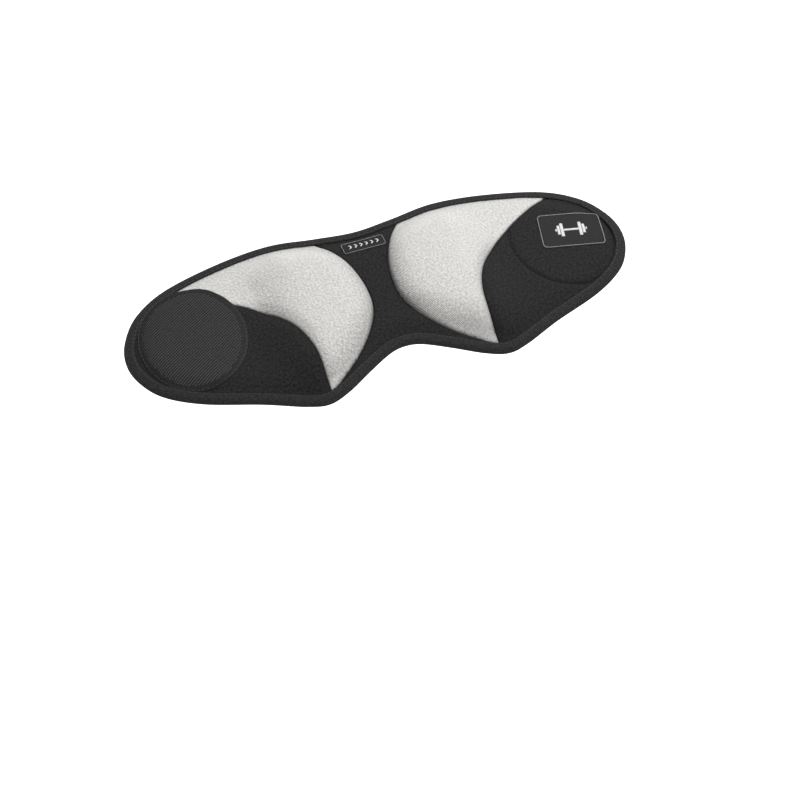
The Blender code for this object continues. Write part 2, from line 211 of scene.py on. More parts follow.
@cache
def edge_table(inset):
    points = half_outline(inset)
    middle = max(range(len(points)), key=lambda i: points[i].x)
    upper, lower = points[: middle + 1], points[: middle - 1 : -1]
    xs = [cell * EDGE_STEP for cell in range(EDGE_CELLS)]
    return [(y_at(lower, x), y_at(upper, x)) for x in xs]


def y_at(points, x):
    """y at x on a line whose x only grows, or the last y beyond its end."""
    for start, end in zip(points, points[1:]):
        if start.x <= x <= end.x:
            return start.lerp(end, (x - start.x) / max(end.x - start.x, 1e-9)).y
    return points[-1].y


def edges_at(x, inset):
    table = edge_table(inset)
    place = min(abs(x) / EDGE_STEP, EDGE_CELLS - 1.001)
    cell = int(place)
    share = place - cell
    low = table[cell][0] * (1 - share) + table[cell + 1][0] * share
    high = table[cell][1] * (1 - share) + table[cell + 1][1] * share
    return low, high


def inside(x, y, inset):
    low, high = edges_at(x, inset)
    return low < y < high


def nose_seam_x(y):
    flare, reach, power = UPPER_FLARE if y > NOSE_Y else LOWER_FLARE
    return NOSE_X + flare * (abs(y - NOSE_Y) / reach) ** power


def nose_seam_y(x, side):
    """y of that seam on its upper (side 1) or lower (side -1) branch."""
    flare, reach, power = UPPER_FLARE if side > 0 else LOWER_FLARE
    return NOSE_Y + side * reach * ((x - NOSE_X) / flare) ** (1 / power)


def nose_seam(spacing):
    rows = round(0.16 / spacing)
    ys = [0.08 - 0.16 * row / rows for row in range(rows + 1)]
    return [Vector((nose_seam_x(y), y)) for y in ys]


def panel_seam_at(t):
    return Vector((SEAM_FOOT[0] + SEAM_REACH[0] * t**3, SEAM_FOOT[1] + SEAM_REACH[1] * t))


def panel_seam(spacing):
    steps = 160
    return spaced([panel_seam_at(-0.05 + 1.15 * step / steps) for step in range(steps + 1)], spacing)


def above_panel_seam(x, y):
    t = (y - SEAM_FOOT[1]) / SEAM_REACH[1]
    return x < SEAM_FOOT[0] + SEAM_REACH[0] * t**3


def ellipse(centre, radii, spacing):
    count = round(math.pi * (radii[0] + radii[1]) / spacing)
    turns = [2 * math.pi * step / count for step in range(count + 1)]
    return [Vector((centre[0] + radii[0] * math.cos(a), centre[1] + radii[1] * math.sin(a))) for a in turns]


def beside(line, distance):
    """An open line moved to its left."""
    moved = []
    ends = [line[0] * 2 - line[1], *line, line[-1] * 2 - line[-2]]
    for last, here, following in zip(ends, ends[1:], ends[2:]):
        along = (following - last).normalized()
        moved.append(here + distance * Vector((-along.y, along.x)))
    return moved


def rounded_rectangle(centre, size, corner, tilt, spacing):
    points = []
    for quarter, (x_side, y_side) in enumerate(((1, 1), (-1, 1), (-1, -1), (1, -1))):
        for step in range(6):
            turn = (quarter + step / 5) * math.pi / 2
            x = x_side * (size[0] / 2 - corner) + corner * math.cos(turn)
            y = y_side * (size[1] / 2 - corner) + corner * math.sin(turn)
            points.append(Matrix.Rotation(tilt, 2) @ Vector((x, y)) + Vector(centre))
    return spaced(points + points[:1], spacing)


def tree_of(points):
    tree = KDTree(len(points))
    for index, point in enumerate(points):
        tree.insert((point.x, point.y, 0), index)
    tree.balance()
    return tree


def distance_to(tree, x, y):
    return tree.find((x, y, 0))[2]


# ---- heights


def shoulder(distance, width):
    """0 at an edge, rising as a quarter circle to 1."""
    t = min(max(distance / width, 0.0), 1.0)
    return math.sqrt(1 - (1 - t) ** 2)


def slope(distance, width):
    """0 at an edge, rising as a quarter of a sine wave to 1."""
    return math.sin(math.pi / 2 * min(max(distance / width, 0.0), 1.0))


def dome(x, y):
    """The right lobe's height over the flat cover, from 0 to 1."""
    fade_start, fade_end = LOBE_FADE_X
    if x <= NOSE_X or x >= fade_end:
        return 0.0
    low, high = edges_at(x, DOME_EDGE)
    from_sides = slope(high - y, LOBE_SLOPE) * slope(y - low, LOBE_SLOPE)
    from_neck = shoulder(x - nose_seam_x(y), LOBE_SHOULDER)
    from_tab = smooth((fade_end - x) / (fade_end - fade_start))
    return from_sides * from_neck * from_tab


def bump(distance, width):
    return math.exp(-((distance / width) ** 2))


def smooth(share):
    share = min(max(share, 0.0), 1.0)
    return share * share * (3 - 2 * share)


@cache
def tape_edge():
    return tree_of(whole_outline(TAPE_WIDTH, 0.0005))


def to_tape(x, y):
    """Distance from a point on the outer face to the tape's inner edge, negative under the tape."""
    away = distance_to(tape_edge(), x, y)
    return away if inside(x, y, TAPE_WIDTH) else -away


def sewn_height(x, y):
    """The cover's height without its lobes or its puff: lowest where the tape is sewn over it."""
    return SEWN_EDGE + (COVER_TOP - SEWN_EDGE) * smooth(to_tape(x, y) / PINCH_REACH)


def flat_cover(x, y):
    """The cover's height away from the lobes."""
    return sewn_height(x, y) + PUFF * smooth(to_tape(x, y) / 0.010)


def on_cover(flat, above):
    """A point above the flat cover."""
    return Vector((flat.x, flat.y, flat_cover(flat.x, flat.y) + above))


def lumps(x, y, size, seed):
    return noise.noise(Vector((x / size, y / size, seed)))


# ---- meshes


def object_of(name, mesh):
    made = bpy.data.objects.new(name, mesh)
    bpy.context.scene.collection.objects.link(made)
    return made


def object_from(bm, name):
    mesh = bpy.data.meshes.new(name)
    bm.to_mesh(mesh)
    bm.free()
    mesh.shade_smooth()
    return object_of(name, mesh)


def flat_mesh(outline, lines, dots, spacing, keep):
    """Triangles inside a closed outline. Their edges follow the lines, and dots add points to them."""
    points = []
    edges = []
    for line in (outline + outline[:1], *lines):
        first = len(points)
        points += line
        edges += [(first + i, first + i + 1) for i in range(len(line) - 1)]
    fixed = tree_of(points)
    extra = [dot for dot in dots if distance_to(fixed, dot.x, dot.y) > 0.5 * MM]
    taken = tree_of(points + extra)
    xs = [point.x for point in outline]
    ys = [point.y for point in outline]
    row_height = spacing * math.sqrt(3) / 2
    for row in range(int((max(ys) - min(ys)) / row_height) + 1):
        y = min(ys) + row * row_height
        for column in range(int((max(xs) - min(xs)) / spacing) + 2):
            x = min(xs) + (column + row % 2 / 2) * spacing
            if distance_to(taken, x, y) > 0.55 * spacing:
                extra.append(Vector((x, y)))
    made = delaunay_2d_cdt([p.copy() for p in points + extra], edges, [], 1, 1e-6)
    verts, faces = made[0], made[2]
    kept = []
    for face in faces:
        centre = sum((verts[i] for i in face), Vector((0, 0))) / len(face)
        if keep(centre.x, centre.y):
            kept.append(face)
    return verts, kept


def compacted(faces):
    """The points that the faces use, and the faces again, with their corners numbered among those."""
    used = sorted({i for face in faces for i in face})
    place = {old: new for new, old in enumerate(used)}
    return used, [[place[i] for i in face] for face in faces]


def mesh_of(name, verts, faces, wear):
    """A mesh with only the points that its faces use. The last list is each point's painted shade near a seam
    or edge, 0 to 1.
    """
    used, members = compacted(faces)
    mesh = bpy.data.meshes.new(name)
    mesh.from_pydata([verts[i] for i in used], [], members)
    mesh.validate()
    # painted shade: a point attribute that darkens the colour near seams and edges
    layer = mesh.attributes.new("wear", "FLOAT", "POINT")
    layer.data.foreach_set("value", [wear[i] for i in used])
    return mesh


def add_flat_cloth_map(mesh, turn):
    """Cloth coordinates in metres, seen from above, with the grain turned."""
    grain = Matrix.Rotation(turn, 2)
    layer = mesh.uv_layers.new(name="cloth")
    for loop in mesh.loops:
        point = mesh.vertices[loop.vertex_index].co
        layer.data[loop.index].uv = grain @ point.xy


def thicken(mesh_object, thickness):
    solid = mesh_object.modifiers.new("thickness", "SOLIDIFY")
    solid.thickness = thickness
    solid.offset = -1
    graph = bpy.context.evaluated_depsgraph_get()
    graph.update()
    final = bpy.data.meshes.new_from_object(mesh_object.evaluated_get(graph))
    mesh_object.modifiers.clear()
    mesh_object.data = final


def finish_piece(piece, name, material):
    piece.data.materials.clear()
    piece.data.materials.append(material)
    side = name.split("_")[0]
    for key in (name, name.removeprefix(side + "_")):
        for node in STANDS_FOR.get(key, ()):
            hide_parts(node.format(side=side))


def bend_with(piece):
    """Bakes the piece's placement into its points."""
    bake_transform(piece)


def cut_lines():
    ends = {end for start, end, *_ in STRETCHES.values() if end < HALF_OUTLINE[7][0]}
    return sorted({0.0} | ends | {-end for end in ends})


def cut_into_pieces(whole, base, material):
    """Cuts a finished fabric at the middle of each flat stretch. Its shading stays that of the whole."""
    bm = bmesh.new()
    bm.from_mesh(whole.data)
    for x in cut_lines():
        everything = bm.verts[:] + bm.edges[:] + bm.faces[:]
        bmesh.ops.bisect_plane(bm, geom=everything, dist=1e-7, plane_co=(x, 0, 0), plane_no=(1, 0, 0))
    bm.normal_update()
    kept_normal = bm.verts.layers.float_vector.new("kept_normal")
    for vert in bm.verts:
        vert[kept_normal] = vert.normal
    pieces = {}
    for side, sign in SIDES.items():
        for stretch, (low, high, *_) in STRETCHES.items():
            part = bm.copy()
            away = [f for f in part.faces if not low <= sign * f.calc_center_median().x < high]
            bmesh.ops.delete(part, geom=away, context="FACES")
            if part.faces:
                name = f"{side}_{base}_{stretch}"
                mesh = bpy.data.meshes.new(name)
                part.to_mesh(mesh)
                mesh.shade_smooth()
                normals = [item.vector.copy() for item in mesh.attributes["kept_normal"].data]
                mesh.normals_split_custom_set_from_vertices(normals)
                mesh.attributes.remove(mesh.attributes["kept_normal"])
                piece = object_of(name, mesh)
                finish_piece(piece, name, material)
                bend_with(piece)
                pieces[side, stretch] = piece
            part.free()
    bm.free()
    bpy.data.objects.remove(whole)
    return pieces


# ---- thread


def add_thread(bm, start, end, up, radius, arch, rings=5, sides=6):
    """One stitch: a short thread from start to end, whose ends dive into the cloth."""
    along = end - start
    across = along.cross(up).normalized()
    rows = []
    for ring in range(rings):
        t = ring / (rings - 1)
        swell = math.sin(math.pi * (0.12 + 0.76 * t))
        middle = start.lerp(end, t) + up * (arch * math.sin(math.pi * t) - radius * 0.5)
        row = []
        for side in range(sides):
            turn = 2 * math.pi * side / sides
            offset = across * math.cos(turn) + up * math.sin(turn)
            row.append(bm.verts.new(middle + offset * radius * swell))
        rows.append(row)
    for last, following in zip(rows, rows[1:]):
        for side in range(sides):
            beyond = (side + 1) % sides
            bm.faces.new((last[side], last[beyond], following[beyond], following[side]))
    bm.faces.new(rows[0][::-1])
    bm.faces.new(rows[-1])


def stitch_along(meshes, line, up, length, gap, radius, keep=None):
    """Stitches along a line in space, each put with the side and stretch that it lies in."""
    total = lengths_along(line)[-1]
    count = int(total / (length + gap))
    starts = [number * (total / count) for number in range(count)]
    ends = points_along(line, [place for start in starts for place in (start, start + length)])
    for start, end in zip(ends[::2], ends[1::2]):
        middle = (start + end) / 2
        if keep and not keep(middle):
            continue
        side = "left" if middle.x < 0 else "right"
        stretch = next(name for name, row in STRETCHES.items() if abs(middle.x) < row[1])
        add_thread(meshes[side, stretch], start, end, up, radius, radius * 0.7)


def empty_meshes():
    return {(side, stretch): bmesh.new() for side in SIDES for stretch in STRETCHES}


def thread_pieces(meshes, base, material):
    for (side, stretch), bm in meshes.items():
        if not bm.faces:
            bm.free()
            continue
        bmesh.ops.recalc_face_normals(bm, faces=bm.faces)
        piece = object_from(bm, f"{side}_{base}_{stretch}")
        finish_piece(piece, piece.name, material)
        bend_with(piece)


# ---- materials


class Finish:
    """A material being built: a Principled shader, and short calls for the nodes that feed it."""

    def __init__(self, name, roughness, sheen=0.0, specular=0.5):
        self.material = bpy.data.materials.new(name)
        self.material.use_nodes = True
        self.tree = self.material.node_tree
        self.shader = self.tree.nodes["Principled BSDF"]
        self.shader.inputs["Roughness"].default_value = roughness
        self.shader.inputs["Sheen Weight"].default_value = sheen
        self.shader.inputs["Sheen Roughness"].default_value = 0.45
        self.shader.inputs["Specular IOR Level"].default_value = specular

    def set_input(self, socket, value):
        if isinstance(value, bpy.types.NodeSocket):
            self.tree.links.new(value, socket)
        else:
            socket.default_value = value

    def math(self, operation, first, second=0.0):
        node = self.tree.nodes.new("ShaderNodeMath")
        node.operation = operation
        self.set_input(node.inputs[0], first)
        self.set_input(node.inputs[1], second)
        return node.outputs[0]

    def cloth_map(self):
        """The cloth's own two coordinates, in metres."""
        node = self.tree.nodes.new("ShaderNodeUVMap")
        node.uv_map = "cloth"
        split = self.tree.nodes.new("ShaderNodeSeparateXYZ")
        self.tree.links.new(node.outputs[0], split.inputs[0])
        return node.outputs[0], split.outputs[0], split.outputs[1]

    def place(self):
        node = self.tree.nodes.new("ShaderNodeTexCoord")
        return node.outputs["Object"]

    # painted shade near seams and edges, read from the point attribute
    def wear(self):
        node = self.tree.nodes.new("ShaderNodeAttribute")
        node.attribute_name = "wear"
        return node.outputs["Fac"]

    def speckle(self, vector, size, detail=2.0):
        """Soft noise from 0 to 1, with blots of about the size given in metres."""
        node = self.tree.nodes.new("ShaderNodeTexNoise")
        node.inputs["Scale"].default_value = 1 / size
        node.inputs["Detail"].default_value = detail
        self.tree.links.new(vector, node.inputs["Vector"])
        return node.outputs["Fac"]

    def half_sine(self, turns):
        sine = self.math("SINE", self.math("MULTIPLY", turns, 2 * math.pi))
        return self.math("ADD", self.math("MULTIPLY", sine, 0.5), 0.5)

    def knit(self, wale, course):
        """Rows of V-shaped loops: columns a wale apart, and rows a course apart."""
        _, u, v = self.cloth_map()
        column = self.math("MULTIPLY", self.math("PINGPONG", self.math("MULTIPLY", u, 1 / wale), 0.5), 2)
        leg = self.math("SINE", self.math("MULTIPLY", column, math.pi))
        row = self.math("ADD", self.math("MULTIPLY", v, 1 / course), self.math("MULTIPLY", column, 0.6))
        loop = self.math("ADD", self.math("MULTIPLY", self.half_sine(row), 0.6), 0.4)
        return self.math("MULTIPLY", leg, loop)

    def weave(self, pitch):
        """Threads that pass over and under each other."""
        _, u, v = self.cloth_map()
        across = self.math("SINE", self.math("MULTIPLY", u, 2 * math.pi / pitch))
        along = self.math("SINE", self.math("MULTIPLY", v, 2 * math.pi / pitch))
        return self.math("ADD", self.math("MULTIPLY", self.math("MULTIPLY", across, along), 0.5), 0.5)

    def sum_of(self, first, first_share, second, second_share):
        scaled = [self.math("MULTIPLY", *term) for term in ((first, first_share), (second, second_share))]
        return self.math("ADD", *scaled)

    def contrast(self, value, gain):
        return self.math("ADD", self.math("MULTIPLY", value, gain), (1 - gain) / 2)

    def tint(self, dark, light, factor):
        mix = self.tree.nodes.new("ShaderNodeMix")
        mix.data_type = "RGBA"
        self.set_input(mix.inputs[0], factor)
        self.set_input(mix.inputs[6], dark if isinstance(dark, bpy.types.NodeSocket) else (*dark, 1))
        self.set_input(mix.inputs[7], light if isinstance(light, bpy.types.NodeSocket) else (*light, 1))
        return mix.outputs[2]

    def relief(self, height, depth):
        node = self.tree.nodes.new("ShaderNodeBump")
        node.inputs["Strength"].default_value = 1.0
        node.inputs["Distance"].default_value = depth
        self.tree.links.new(height, node.inputs["Height"])
        self.tree.links.new(node.outputs[0], self.shader.inputs["Normal"])

    def colour(self, socket):
        self.tree.links.new(socket, self.shader.inputs["Base Color"])


def fabric(finish, threads, thread_share, fuzz, fuzz_share, depth, dark, light, seam, seam_shade_share):
    """A cloth of knitted or woven threads with a fuzzy face, with painted shade that darkens it towards its
    seams.
    """
    height = finish.sum_of(threads, thread_share, finish.contrast(*fuzz), fuzz_share)
    finish.relief(height, depth)
    cloth = finish.tint(dark, light, height)
    # painted shade: the colour mixes towards the dark seam colour near seams and edges
    finish.colour(finish.tint(cloth, seam, finish.math("MULTIPLY", finish.wear(), seam_shade_share)))
    return finish.material


def silver_knit():
    finish = Finish("silver_knit", roughness=0.55, sheen=0.1)
    loops = finish.knit(1.9 * MM, 1.5 * MM)
    fuzz = (finish.speckle(finish.cloth_map()[0], 1.7 * MM), 2.4)
    # the third colour is the painted shade's colour at seams
    dark, light, seam = (0.36, 0.35, 0.335), (0.83, 0.82, 0.80), (0.10, 0.10, 0.10)
    return fabric(finish, loops, 0.55, fuzz, 0.6, 0.4 * MM, dark, light, seam, 0.65)


def dark_knit(name, dark, light, wale, course, roughness, sheen):
    finish = Finish(name, roughness=roughness, sheen=sheen, specular=0.15)
    loops = finish.knit(wale, course)
    fuzz = (finish.speckle(finish.cloth_map()[0], 1.8 * MM), 2.6)
    # the near-black colour is the painted shade's colour at seams
    return fabric(finish, loops, 0.5, fuzz, 0.6, 0.35 * MM, dark, light, (0.006, 0.006, 0.007), 0.7)


def woven(name, dark, light, pitch, depth, roughness, sheen=0.1):
    finish = Finish(name, roughness=roughness, sheen=sheen, specular=0.3)
    threads = finish.weave(pitch)
    fuzz = (finish.speckle(finish.cloth_map()[0], 1.8 * MM), 3.0)
    # the near-black colour is the painted shade's colour at seams
    return fabric(finish, threads, 0.5, fuzz, 0.5, depth, dark, light, (0.004, 0.004, 0.004), 0.7)


def fuzzy_loops():
    finish = Finish("loop_tape", roughness=0.95, sheen=0.7, specular=0.1)
    vector = finish.cloth_map()[0]
    coarse = finish.speckle(vector, 1.3 * MM, 4)
    fine = finish.speckle(vector, 0.45 * MM)
    height = finish.math("ADD", coarse, finish.math("MULTIPLY", fine, 0.6))
    finish.relief(height, 0.9 * MM)
    paleness = finish.math("MULTIPLY", height, 0.7)
    finish.colour(finish.tint((0.010, 0.010, 0.011), (0.070, 0.070, 0.074), paleness))
    return finish.material


def plain_thread(name, dark, light, roughness):
    finish = Finish(name, roughness=roughness, sheen=0.2)
    fibres = finish.speckle(finish.place(), 0.35 * MM, 3)
    finish.relief(fibres, 0.08 * MM)
    finish.colour(finish.tint(dark, light, fibres))
    return finish.material


FLOOR_GLOW = 0.85  # keeps the floor pale under the cuff, as on a light table


def floor_finish():
    finish = Finish("studio_floor", roughness=0.9, specular=0.1)
    grain = finish.speckle(finish.place(), 0.25)
    finish.colour(finish.tint((0.90, 0.90, 0.90), (0.93, 0.93, 0.93), grain))
    finish.shader.inputs["Emission Color"].default_value = (1.0, 1.0, 1.0, 1.0)
    finish.shader.inputs["Emission Strength"].default_value = FLOOR_GLOW
    return finish.material


FINISHES = {
    "silver_knit": silver_knit(),
    "black_jersey": dark_knit(
        "black_jersey", (0.002, 0.002, 0.002), (0.034, 0.033, 0.034), 1.7 * MM, 1.4 * MM, 0.85, 0.04
    ),
    "lining_jersey": dark_knit(
        "lining_jersey", (0.006, 0.006, 0.007), (0.042, 0.041, 0.043), 1.8 * MM, 1.4 * MM, 0.9, 0.2
    ),
    "binding_tape": woven(
        "binding_tape", (0.001, 0.001, 0.001), (0.034, 0.033, 0.034), 1.8 * MM, 0.3 * MM, 0.85, 0.02
    ),
    "hook_base": woven("hook_tape", (0.001, 0.001, 0.001), (0.013, 0.012, 0.013), 1.6 * MM, 0.2 * MM, 0.7),
    "hooks": plain_thread("hook_plastic", (0.034, 0.033, 0.033), (0.105, 0.103, 0.102), 0.5),
    "loop_tape": fuzzy_loops(),
    "label_weave": woven(
        "label_weave", (0.001, 0.001, 0.001), (0.008, 0.007, 0.008), 1.1 * MM, 0.15 * MM, 0.7
    ),
    "pouch_nylon": woven("pouch_nylon", (0.12, 0.12, 0.13), (0.22, 0.22, 0.23), 0.6 * MM, 0.06 * MM, 0.5),
    "white_thread": plain_thread("white_thread", (0.62, 0.62, 0.61), (0.92, 0.92, 0.91), 0.45),
    "grey_thread": plain_thread("grey_thread", (0.26, 0.26, 0.25), (0.70, 0.70, 0.68), 0.5),
    "dark_thread": plain_thread("dark_thread", (0.018, 0.018, 0.018), (0.060, 0.059, 0.060), 0.6),
    "black_thread": plain_thread("black_thread", (0.002, 0.002, 0.002), (0.008, 0.008, 0.008), 0.8),
}


# ---- binding tape

# The tape's section, as (distance in from the edge, height), from the hem tucked under its upper edge
# round the cuff's edge to the hem tucked in on the skin side.
TAPE_SECTION = (
    (0.0066, 0.00457),
    (0.0076, 0.00460),
    (0.0081, 0.00480),
    (0.0078, 0.00510),
    (0.0068, 0.00528),
    (0.0052, 0.00534),
    (0.0036, 0.00516),
    (0.0022, 0.00472),
    (0.0011, 0.00405),
    (0.0003, 0.00320),
    (0.0000, 0.00235),
    (0.0003, 0.00150),
    (0.0011, 0.00075),
    (0.0023, 0.00025),
    (0.0038, 0.00002),
    (0.0055, 0.00000),
    (0.0070, 0.00000),
    (0.0079, 0.00008),
    (0.0081, 0.00035),
    (0.0076, 0.00060),
    (0.0066, 0.00062),
)
TAPE_CROWN = TAPE_SECTION[3:6]
TAPE_RING = 0.0014
TAPE_SECTION_STEP = 0.0012  # the tape's width from one point of its section to the next
STITCH_LENGTH = 0.0026
STITCH_GAP = 0.0008
STITCH_RADIUS = 0.00024
TAPE_STITCH_INSET = 0.0067
LINING_STITCH_HEIGHT = 0.00018


def tape_height(inset):
    """The tape's upper face at a distance in from the edge."""
    for (far, high), (near, low) in zip(TAPE_CROWN, TAPE_CROWN[1:]):
        if near <= inset <= far:
            return low + (high - low) * (inset - near) / (far - near)
    return TAPE_CROWN[0][1]


def tape_ring(point, inward, travelled):
    """The section at one point of the edge. Sewing has drawn it in a little at each stitch."""
    drawn = 0.00010 * math.cos(2 * math.pi * travelled / (STITCH_LENGTH + STITCH_GAP))
    waver = 0.00035 * noise.noise(Vector((point.x / 0.014, point.y / 0.014, 3.0)))
    ring = []
    for inset, height in TAPE_SECTION:
        towards_top = smooth(inset / 0.008) if height > 0.0024 else 0.0
        wide = inset + waver * smooth(inset / 0.008)
        flat = point + inward * wide
        ring.append((flat.x, flat.y, height + towards_top * (drawn + waver * 0.4)))
    return ring


def edge_frames(spacing):
    """Points round the edge, each with its inward direction and the distance travelled to it."""
    loop = whole_outline(0.0, spacing)
    frames = []
    travelled = 0.0
    for index, here in enumerate(loop):
        along = (loop[(index + 1) % len(loop)] - loop[index - 1]).normalized()
        frames.append((here, Vector((along.y, -along.x)), travelled))
        travelled += (loop[(index + 1) % len(loop)] - here).length
    return frames


def make_binding():
    frames = edge_frames(TAPE_RING)
    count = len(TAPE_SECTION)
    verts = [vert for one in frames for vert in tape_ring(*one)]
    faces = []
    places = []
    for ring in range(len(frames)):
        beyond = (ring + 1) % len(frames)
        start = frames[ring][2]
        end = start + TAPE_RING
        for step in range(count - 1):
            after = step + 1
            corners = ((ring, step), (ring, after), (beyond, after), (beyond, step))
            faces.append([row * count + column for row, column in corners])
            low, high = step * TAPE_SECTION_STEP, after * TAPE_SECTION_STEP
            places += [(start, low), (start, high), (end, high), (end, low)]
    mesh = bpy.data.meshes.new("binding")
    mesh.from_pydata(verts, [], faces)
    layer = mesh.uv_layers.new(name="cloth")
    for loop, place in zip(layer.data, places):
        loop.uv = place
    whole = object_of("binding", mesh)
    pieces = cut_into_pieces(whole, "binding", FINISHES["binding_tape"])


def make_binding_stitches():
    frames = edge_frames(0.002)
    frames.append(frames[0])
    top = tape_height(TAPE_STITCH_INSET) + 0.0001
    for name, height, way in (("binding_stitches", top, 1), ("lining_stitches", LINING_STITCH_HEIGHT, -1)):
        meshes = empty_meshes()
        line = [Vector((*(point + inward * TAPE_STITCH_INSET), height)) for point, inward, _ in frames]
        stitch_along(meshes, line, way * UP, STITCH_LENGTH, STITCH_GAP, STITCH_RADIUS)
        thread_pieces(meshes, name, FINISHES["dark_thread"])


# ---- covers

COVER_SPACING = 0.0019
COVER_INSET = 0.0062
SEAM_SPACING = 0.0018
SEAM_SIDES = (0.0007, -0.0007, 0.0020, -0.0020)
OVAL_SIDES = (-0.0016, -0.0007, 0.0007, 0.0016)
SEAM_GROOVE = 0.0006
SEAM_GROOVE_WIDTH = 0.0007
OVAL_GROOVE = 0.0009
OVAL_GROOVE_WIDTH = 0.0014
UNEVEN = 0.00022
UNEVEN_LOBE = 0.0004
UNEVEN_SIZE = 0.016
COVER_THICKNESS = 0.0008
PANEL_SLOTS = {"neck_cover": "black_jersey", "silver_panel": "silver_knit", "black_panel": "black_jersey"}
START_RISE = 0.93
SEAM_DROP = 0.0022
SEAM_DROP_WIDTH = 0.0045
MOST_SWELL = 0.0040
SWELL_EASE = 0.018
SWELL_FRAMES = 20
EVENING_ROUNDS = 7
KNIT_GRAIN = {"left": math.radians(24), "right": math.radians(-30)}
CLOTH = {
    "quality": 5,
    "mass": 0.25,
    "tension_stiffness": 14,
    "compression_stiffness": 14,
    "shear_stiffness": 5,
    "bending_stiffness": 2.0,
    "use_pressure": True,
    "uniform_pressure_force": 4,
    "shrink_min": 0.0,
}
OVAL_RADII = (0.0385, 0.0447)
OVAL_STITCH_HEIGHT = -0.0005

# Soft hollows left by the sand, on the right side's coordinates: (middle, direction, half length,
# half width, depth).
HOLLOWS = {
    "left": (
        ((0.088, 0.036), (0.6, 0.8), 0.030, 0.0100, 0.0004),
        ((0.048, 0.050), (1.0, 0.2), 0.020, 0.0080, 0.0004),
    ),
    "right": (
        ((0.080, 0.030), (0.5, 0.86), 0.024, 0.0080, 0.0006),
        ((0.040, -0.030), (0.8, -0.6), 0.018, 0.0070, 0.0005),
    ),
}


def cover_start(x, y, panel_tree):
    """Where the cover is sewn down, or lies slack before its sand fills it."""
    full = dome(x, y)
    valley = SEAM_DROP * bump(distance_to(panel_tree, x, y), SEAM_DROP_WIDTH)
    return sewn_height(x, y) + START_RISE * LOBE_RISE * full - valley * smooth(full * 3)


def hollows(side, x, y):
    depth = 0.0
    for middle, direction, length, width, deep in HOLLOWS[side]:
        along = Vector(direction).normalized()
        away = Vector((x, y)) - Vector(middle)
        across = Vector((-along.y, along.x)).dot(away)
        depth += deep * bump(away.dot(along), length) * bump(across, width)
    return depth


def swell(cloth_object, sewn, start, most):
    """Fills the slack cover: Blender's cloth under pressure, with a limit to how far each point moves."""
    group = cloth_object.vertex_groups.new(name="sewn")
    group.add(sewn, 1.0, "REPLACE")
    cloth = cloth_object.modifiers.new("cloth", "CLOTH")
    for setting, value in CLOTH.items():
        setattr(cloth.settings, setting, value)
    cloth.settings.vertex_group_mass = group.name
    cloth.settings.effector_weights.gravity = 0
    cloth.point_cache.frame_start = 1
    cloth.point_cache.frame_end = SWELL_FRAMES
    for number in range(1, SWELL_FRAMES + 1):
        bpy.context.scene.frame_set(number)
    graph = bpy.context.evaluated_depsgraph_get()
    swollen = cloth_object.evaluated_get(graph).data
    steps = [vertex.co - before for before, vertex in zip(start, swollen.vertices)]
    edges = [tuple(edge.vertices) for edge in swollen.edges]
    cloth_object.modifiers.clear()
    bpy.context.scene.frame_set(1)
    steps = evened(steps, edges, set(sewn))
    moved = []
    for before, step, limit in zip(start, steps, most):
        moved.append(before + step * min(1.0, limit / max(step.length, 1e-9)))
    return moved


def evened(steps, edges, fixed):
    """Shares each point's motion with its neighbours, which takes the crumples out of a filled cover."""
    for _ in range(EVENING_ROUNDS):
        totals = [step.copy() for step in steps]
        counts = [1] * len(steps)
        for one, other in edges:
            totals[one] += steps[other]
            totals[other] += steps[one]
            counts[one] += 1
            counts[other] += 1
        steps = [
            step if index in fixed else total / count
            for index, (step, total, count) in enumerate(zip(steps, totals, counts))
        ]
    return steps


def lay_out_cover(side, nose, panel, oval):
    """One side's outer face laid flat, as points and faces whose edges follow its seams."""
    rim = spaced(half_outline(COVER_INSET), 0.002)
    seams = [beside(line, away) for line in (nose, panel) for away in SEAM_SIDES]
    lines = [nose, panel]
    if side == "right":
        lines.append(oval)
        for away in OVAL_SIDES:
            seams.append(ellipse(LOOP_CENTRE, (OVAL_RADII[0] + away, OVAL_RADII[1] + away), SEAM_SPACING))
    middle = [Vector((0, rim[-1].y + (rim[0].y - rim[-1].y) * i / 60)) for i in range(1, 60)]
    dots = [dot for line in seams for dot in line if inside(dot.x, dot.y, COVER_INSET + 0.0008)]

    def keep(x, y):
        return x > 0 and inside(x, y, COVER_INSET - 0.0002)

    return flat_mesh(rim + middle, lines, dots, COVER_SPACING, keep)


def fill_cover(flat, faces, panel_tree):
    """The cover's points when the sand has filled it."""
    start = [Vector((v.x, v.y, cover_start(v.x, v.y, panel_tree))) for v in flat]
    mesh = bpy.data.meshes.new("slack_cover")
    mesh.from_pydata(start, [], faces)
    slack = object_of("slack_cover", mesh)
    sewn = []
    most = []
    for index, point in enumerate(start):
        most.append(MOST_SWELL * smooth(to_tape(point.x, point.y) / SWELL_EASE))
        on_seam = distance_to(panel_tree, point.x, point.y) < 0.0003
        on_neck = point.x <= nose_seam_x(point.y) + 0.0001
        under_tape = not inside(point.x, point.y, TAPE_WIDTH)
        if on_seam or on_neck or under_tape or point.x > LOBE_FADE_X[1]:
            sewn.append(index)
    filled = swell(slack, sewn, start, most)
    bpy.data.objects.remove(slack)
    return filled


